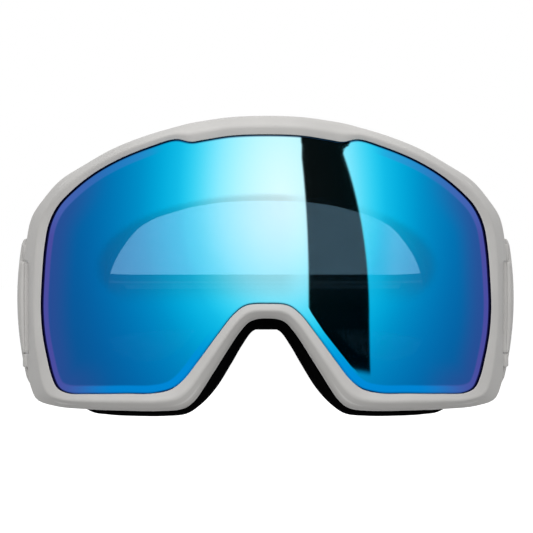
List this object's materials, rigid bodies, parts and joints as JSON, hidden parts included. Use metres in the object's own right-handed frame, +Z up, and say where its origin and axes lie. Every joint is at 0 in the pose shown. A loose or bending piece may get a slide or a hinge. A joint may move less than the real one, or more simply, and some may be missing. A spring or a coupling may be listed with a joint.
{
  "type": "ski goggles",
  "caption": "Ski goggles: wide cylindrical mirrored lens in a moulded rim, vented frame, layered face foam, pivoting strap outriggers and an elastic strap with sliding adjusters.",
  "frame": {"origin": "on the symmetry plane, at the height of the lens's optical axis, where the middle of the face seal meets the forehead", "axes": "+Y from the lens towards the wearer's head, +Z up, +X to the right when looking at the lens"},
  "size_m": [0.1848, 0.2614, 0.105],
  "materials": {
    "grey_shell": "satin moulded thermoplastic, light warm grey",
    "mirror_lens": "polycarbonate with a blue mirror coating, purple at grazing edges",
    "clear_lens": "clear anti-fog inner lens",
    "dark_plastic": "black moulded plastic",
    "steel": "bright pin",
    "open_cell_foam": "black open-cell foam",
    "soft_foam": "black soft foam",
    "fleece": "black brushed fleece",
    "webbing": "black knitted elastic webbing",
    "silicone": "dark silicone grip line"
  },
  "bodies": {
    "root": {"outer_frame": "grey_shell", "lens_outer": "mirror_lens", "lens_inner": "clear_lens", "lens_spacer": "open_cell_foam", "face_plate": "dark_plastic", "foam_base": "open_cell_foam", "foam_middle": "soft_foam", "foam_fleece": "fleece", "vent_foam_top": "open_cell_foam", "vent_foam_bottom_left": "open_cell_foam", "vent_foam_bottom_right": "open_cell_foam", "hinge_pin_left": "steel", "hinge_pin_right": "steel", "strap_band": "webbing", "strap_fold_left": "webbing", "strap_fold_right": "webbing", "strap_grip_upper": "silicone", "strap_grip_lower": "silicone"},
    "outrigger_left": {"outrigger_left": "grey_shell", "strap_front_left": "webbing"},
    "outrigger_right": {"outrigger_right": "grey_shell", "strap_front_right": "webbing"},
    "slider_left": {"slider_left": "dark_plastic", "strap_end_left": "webbing"},
    "slider_right": {"slider_right": "dark_plastic", "strap_end_right": "webbing"}
  },
  "joints": [
    {"name": "outrigger_left_swing", "type": "hinge", "parent": "root", "child": "outrigger_left", "pos_m": [-0.0854, 0.0074, 0], "axis": [0, 0, 1], "range_deg": [0, 18]},
    {"name": "outrigger_right_swing", "type": "hinge", "parent": "root", "child": "outrigger_right", "pos_m": [0.0854, 0.0074, 0], "axis": [0, 0, -1], "range_deg": [0, 18]},
    {"name": "slider_left_slide", "type": "slide", "parent": "root", "child": "slider_left", "axis": [0, 1, 0], "range_m": [0, 0.03]},
    {"name": "slider_right_slide", "type": "slide", "parent": "root", "child": "slider_right", "axis": [0, 1, 0], "range_m": [0, 0.03]}
  ]
}
